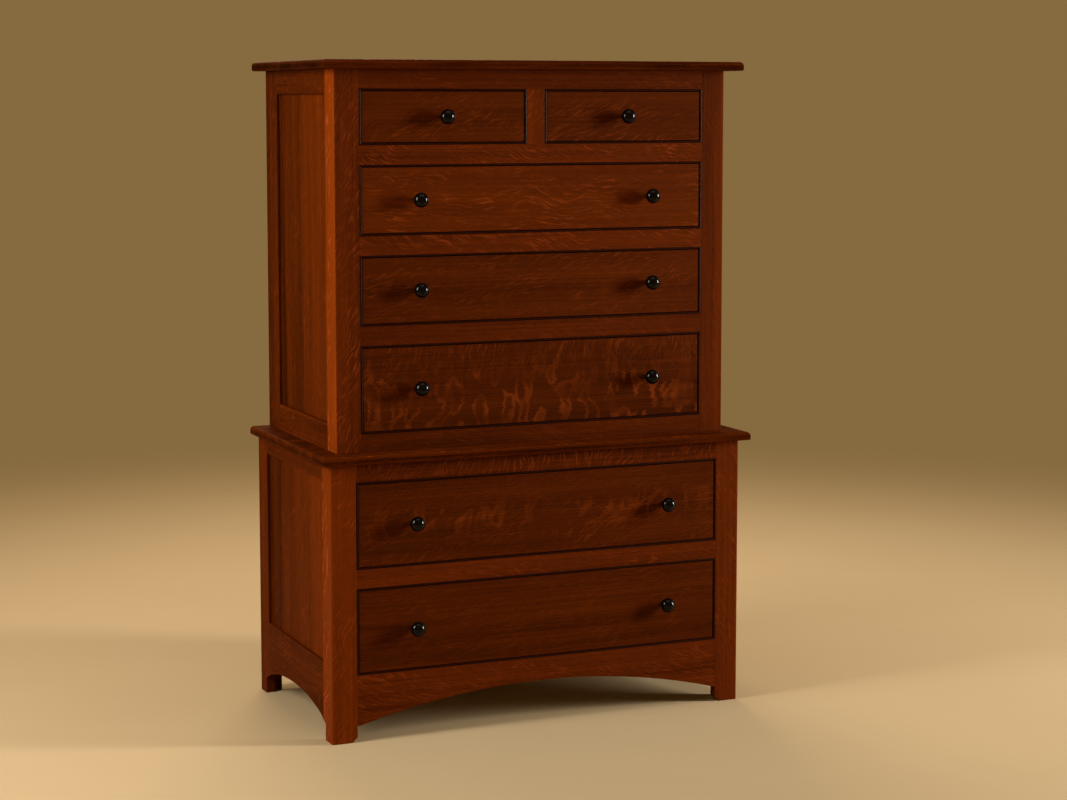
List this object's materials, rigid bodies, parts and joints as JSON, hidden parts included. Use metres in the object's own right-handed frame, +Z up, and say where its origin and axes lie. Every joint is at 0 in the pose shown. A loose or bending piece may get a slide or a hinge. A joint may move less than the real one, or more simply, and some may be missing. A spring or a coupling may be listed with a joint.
{
  "type": "chest on chest",
  "caption": "Tall oak chest on chest: a narrower case of dovetailed drawers stands on a wider arched base case, with framed panel sides, black beads and round black knobs.",
  "frame": {"origin": "on the floor, midway across the width and midway between the faces of the lower knobs and the back", "axes": "+Z up, +Y towards the back so the drawers open along -Y, +X to the right of someone facing the drawers"},
  "size_m": [1.082, 0.597, 1.551],
  "materials": {
    "oak_case": "satin lacquer over a dark reddish-brown stain, quarter-sawn oak",
    "oak_panel": "satin lacquer over a dark reddish-brown stain, upright boards",
    "oak_front": "satin lacquer over a dark reddish-brown stain, level grain with ray fleck",
    "black_bead": "ebonised, semi-gloss",
    "black_lacquer": "turned and lacquered black, glossy",
    "drawer_maple": "clear satin",
    "drawer_plywood": "clear satin",
    "runner_poplar": "planed and waxed",
    "back_plywood": "stained, matte",
    "screw_steel": "zinc plated"
  },
  "bodies": {
    "case": {"case_screws": "screw_steel", "lower_apron": "oak_case", "lower_back_frame": "oak_case", "lower_back_panel": "back_plywood", "lower_drawer_beads": "black_bead", "lower_drawer_rail": "oak_case", "lower_left_side_frame": "oak_case", "lower_left_side_panel": "oak_panel", "lower_left_stile": "oak_case", "lower_right_side_frame": "oak_case", "lower_right_side_panel": "oak_panel", "lower_right_stile": "oak_case", "lower_runners": "runner_poplar", "lower_top_rail": "oak_case", "lower_web_rails": "runner_poplar", "upper_back_frame": "oak_case", "upper_back_panel": "back_plywood", "upper_drawer_beads": "black_bead", "upper_drawer_rails": "oak_case", "upper_left_side_frame": "oak_case", "upper_left_side_panel": "oak_panel", "upper_left_stile": "oak_case", "upper_mullion": "oak_case", "upper_right_side_frame": "oak_case", "upper_right_side_panel": "oak_panel", "upper_right_stile": "oak_case", "upper_runners": "runner_poplar", "upper_top": "oak_case", "upper_top_rail": "oak_case", "upper_web_rails": "runner_poplar", "waist_top": "oak_case"},
    "top_left_drawer": {"top_left_drawer_bottom": "drawer_plywood", "top_left_drawer_box": "drawer_maple", "top_left_drawer_front": "oak_front", "top_left_drawer_knobs": "black_lacquer"},
    "top_right_drawer": {"top_right_drawer_bottom": "drawer_plywood", "top_right_drawer_box": "drawer_maple", "top_right_drawer_front": "oak_front", "top_right_drawer_knobs": "black_lacquer"},
    "second_drawer": {"second_drawer_bottom": "drawer_plywood", "second_drawer_box": "drawer_maple", "second_drawer_front": "oak_front", "second_drawer_knobs": "black_lacquer"},
    "third_drawer": {"third_drawer_bottom": "drawer_plywood", "third_drawer_box": "drawer_maple", "third_drawer_front": "oak_front", "third_drawer_knobs": "black_lacquer"},
    "fourth_drawer": {"fourth_drawer_bottom": "drawer_plywood", "fourth_drawer_box": "drawer_maple", "fourth_drawer_front": "oak_front", "fourth_drawer_knobs": "black_lacquer"},
    "fifth_drawer": {"fifth_drawer_bottom": "drawer_plywood", "fifth_drawer_box": "drawer_maple", "fifth_drawer_front": "oak_front", "fifth_drawer_knobs": "black_lacquer"},
    "bottom_drawer": {"bottom_drawer_bottom": "drawer_plywood", "bottom_drawer_box": "drawer_maple", "bottom_drawer_front": "oak_front", "bottom_drawer_knobs": "black_lacquer"}
  },
  "joints": [
    {"name": "top_left_drawer_slide", "type": "slide", "parent": "case", "child": "top_left_drawer", "axis": [0, -1, 0], "range_m": [0, 0.34]},
    {"name": "top_right_drawer_slide", "type": "slide", "parent": "case", "child": "top_right_drawer", "axis": [0, -1, 0], "range_m": [0, 0.34]},
    {"name": "second_drawer_slide", "type": "slide", "parent": "case", "child": "second_drawer", "axis": [0, -1, 0], "range_m": [0, 0.34]},
    {"name": "third_drawer_slide", "type": "slide", "parent": "case", "child": "third_drawer", "axis": [0, -1, 0], "range_m": [0, 0.34]},
    {"name": "fourth_drawer_slide", "type": "slide", "parent": "case", "child": "fourth_drawer", "axis": [0, -1, 0], "range_m": [0, 0.34]},
    {"name": "fifth_drawer_slide", "type": "slide", "parent": "case", "child": "fifth_drawer", "axis": [0, -1, 0], "range_m": [0, 0.37]},
    {"name": "bottom_drawer_slide", "type": "slide", "parent": "case", "child": "bottom_drawer", "axis": [0, -1, 0], "range_m": [0, 0.37]}
  ]
}
